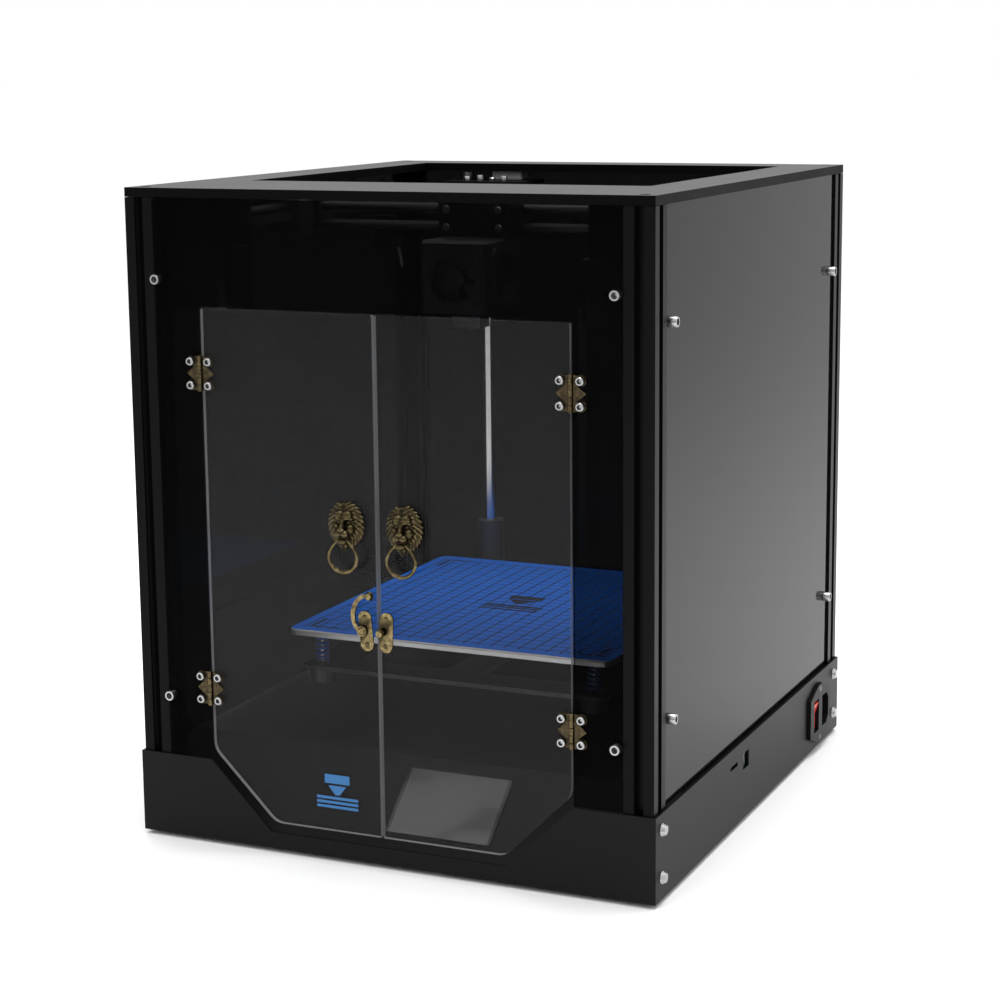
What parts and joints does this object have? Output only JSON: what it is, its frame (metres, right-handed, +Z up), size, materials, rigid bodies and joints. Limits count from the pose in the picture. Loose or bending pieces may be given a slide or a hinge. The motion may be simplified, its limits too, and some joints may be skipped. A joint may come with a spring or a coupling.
{
  "type": "fdm printer",
  "caption": "Enclosed desktop FDM 3D printer with hinged acrylic doors, lion-head pulls, a belt gantry and a bed on a lead screw.",
  "frame": {"origin": "centre of the overall box at floor level", "axes": "+X to the right as seen from the doors, +Y from the doors to the back, +Z up"},
  "size_m": [0.3704, 0.4144, 0.432],
  "materials": {
    "black_sheet": "fine textured powder coat",
    "black_aluminium": "black anodised",
    "smoked_acrylic": "smoked, see-through",
    "dark_acrylic": "dark smoked, see-through",
    "antique_brass": "antique, patinated",
    "black_plastic": "moulded black",
    "rubber": "plain",
    "polished_steel": "ground and polished",
    "raw_aluminium": "satin",
    "brass": "machined",
    "blue_print_surface": "matt blue print surface with a silver edge",
    "red_plastic": "translucent red",
    "circuit_board": "solder mask"
  },
  "bodies": {
    "frame": {"base_tray": "black_sheet", "deck": "black_sheet", "top_cap": "black_sheet", "motor_mount_left": "black_sheet", "motor_mount_right": "black_sheet", "post_front_left": "black_aluminium", "post_front_right": "black_aluminium", "post_rear_left": "black_aluminium", "post_rear_right": "black_aluminium", "xy_motor_left": "black_aluminium", "xy_motor_right": "black_aluminium", "z_motor": "black_aluminium", "front_panel": "dark_acrylic", "rear_panel": "dark_acrylic", "side_panel_left": "dark_acrylic", "side_panel_right": "dark_acrylic", "hinge_lower_left": "antique_brass", "hinge_lower_right": "antique_brass", "hinge_upper_left": "antique_brass", "hinge_upper_right": "antique_brass", "touchscreen": "black_plastic", "mains_inlet": "black_plastic", "foot_front_left": "rubber", "foot_front_right": "rubber", "foot_rear_left": "rubber", "foot_rear_right": "rubber", "y_rod_left": "polished_steel", "y_rod_right": "polished_steel", "z_rod_left": "polished_steel", "z_rod_right": "polished_steel", "power_supply": "raw_aluminium", "extruder": "raw_aluminium", "mainboard": "circuit_board"},
    "left_door": {"door_left": "smoked_acrylic", "pull_left": "antique_brass", "latch_base": "antique_brass"},
    "right_door": {"door_right": "smoked_acrylic", "pull_right": "antique_brass", "latch_keeper": "antique_brass"},
    "left_ring": {"ring_left": "antique_brass"},
    "right_ring": {"ring_right": "antique_brass"},
    "latch_arm": {"latch_arm": "antique_brass"},
    "gantry": {"gantry_end_left": "black_plastic", "gantry_end_right": "black_plastic", "x_rods": "polished_steel"},
    "carriage": {"carriage": "black_sheet", "print_head": "black_plastic", "hotend": "brass"},
    "front_fan": {"front_fan": "black_plastic"},
    "side_fan": {"side_fan": "black_plastic"},
    "left_pulley": {"belt_pulley_left": "polished_steel"},
    "right_pulley": {"belt_pulley_right": "polished_steel"},
    "bed": {"print_sheet": "blue_print_surface", "heated_bed": "raw_aluminium", "bed_carrier": "black_sheet"},
    "lead_screw": {"lead_screw": "polished_steel"},
    "rocker": {"rocker_switch": "red_plastic"},
    "knob_front_left": {"levelling_knob_front_left": "black_plastic"},
    "knob_front_right": {"levelling_knob_front_right": "black_plastic"},
    "knob_rear": {"levelling_knob_rear": "black_plastic"}
  },
  "joints": [
    {"name": "left_door_hinge", "type": "hinge", "parent": "frame", "child": "left_door", "pos_m": [-0.12775, -0.19775, 0.21], "axis": [0, 0, -1], "range_deg": [0, 110]},
    {"name": "right_door_hinge", "type": "hinge", "parent": "frame", "child": "right_door", "pos_m": [0.12775, -0.19775, 0.21], "axis": [0, 0, 1], "range_deg": [0, 110]},
    {"name": "left_ring_swing", "type": "hinge", "parent": "left_door", "child": "left_ring", "pos_m": [-0.0244, -0.20275, 0.2135], "axis": [-1, 0, 0], "range_deg": [0, 75]},
    {"name": "right_ring_swing", "type": "hinge", "parent": "right_door", "child": "right_ring", "pos_m": [0.0164, -0.20275, 0.2135], "axis": [-1, 0, 0], "range_deg": [0, 75]},
    {"name": "latch_turn", "type": "hinge", "parent": "left_door", "child": "latch_arm", "pos_m": [-0.0145, -0.1983, 0.156], "axis": [0, -1, 0], "range_deg": [-78, 30]},
    {"name": "gantry_y", "type": "slide", "parent": "frame", "child": "gantry", "axis": [0, 1, 0], "range_m": [-0.06, 0.165]},
    {"name": "carriage_x", "type": "slide", "parent": "gantry", "child": "carriage", "axis": [1, 0, 0], "range_m": [-0.095, 0.095]},
    {"name": "front_fan_spin", "type": "hinge", "parent": "carriage", "child": "front_fan", "pos_m": [0, -0.08725, 0.36885], "axis": [0, 1, 0], "continuous": true},
    {"name": "side_fan_spin", "type": "hinge", "parent": "carriage", "child": "side_fan", "pos_m": [0.024, -0.06025, 0.36885], "axis": [1, 0, 0], "continuous": true},
    {"name": "left_pulley_spin", "type": "hinge", "parent": "frame", "child": "left_pulley", "pos_m": [-0.14485, -0.1521, 0.4], "axis": [0, 0, 1], "range_deg": [-546, 1491]},
    {"name": "right_pulley_spin", "type": "hinge", "parent": "frame", "child": "right_pulley", "pos_m": [0.14485, -0.1521, 0.4], "axis": [0, 0, -1], "range_deg": [-546, 1491]},
    {"name": "bed_z", "type": "slide", "parent": "frame", "child": "bed", "axis": [0, 0, 1], "range_m": [-0.033, 0.2]},
    {"name": "lead_screw_spin", "type": "hinge", "parent": "frame", "child": "lead_screw", "pos_m": [-0.003, 0.14675, 0.2], "axis": [0, 0, 1], "range_deg": [-9010, 1495]},
    {"name": "rocker_tilt", "type": "hinge", "parent": "frame", "child": "rocker", "pos_m": [0.1805, 0.14175, 0.029], "axis": [0, -1, 0], "range_deg": [0, 16]},
    {"name": "knob_front_left_turn", "type": "hinge", "parent": "bed", "child": "knob_front_left", "pos_m": [-0.0955, -0.10275, 0.1007], "axis": [0, 0, 1], "range_deg": [-360, 360]},
    {"name": "knob_front_right_turn", "type": "hinge", "parent": "bed", "child": "knob_front_right", "pos_m": [0.1055, -0.10275, 0.1007], "axis": [0, 0, 1], "range_deg": [-360, 360]},
    {"name": "knob_rear_turn", "type": "hinge", "parent": "bed", "child": "knob_rear", "pos_m": [0.005, 0.10825, 0.1007], "axis": [0, 0, 1], "range_deg": [-360, 360]}
  ],
  "couplings": [
    {"joint": "left_pulley_spin", "follows": "gantry_y", "rad_per_m": 157.08},
    {"joint": "right_pulley_spin", "follows": "gantry_y", "rad_per_m": 157.08},
    {"joint": "lead_screw_spin", "follows": "bed_z", "rad_per_m": -785.4}
  ]
}
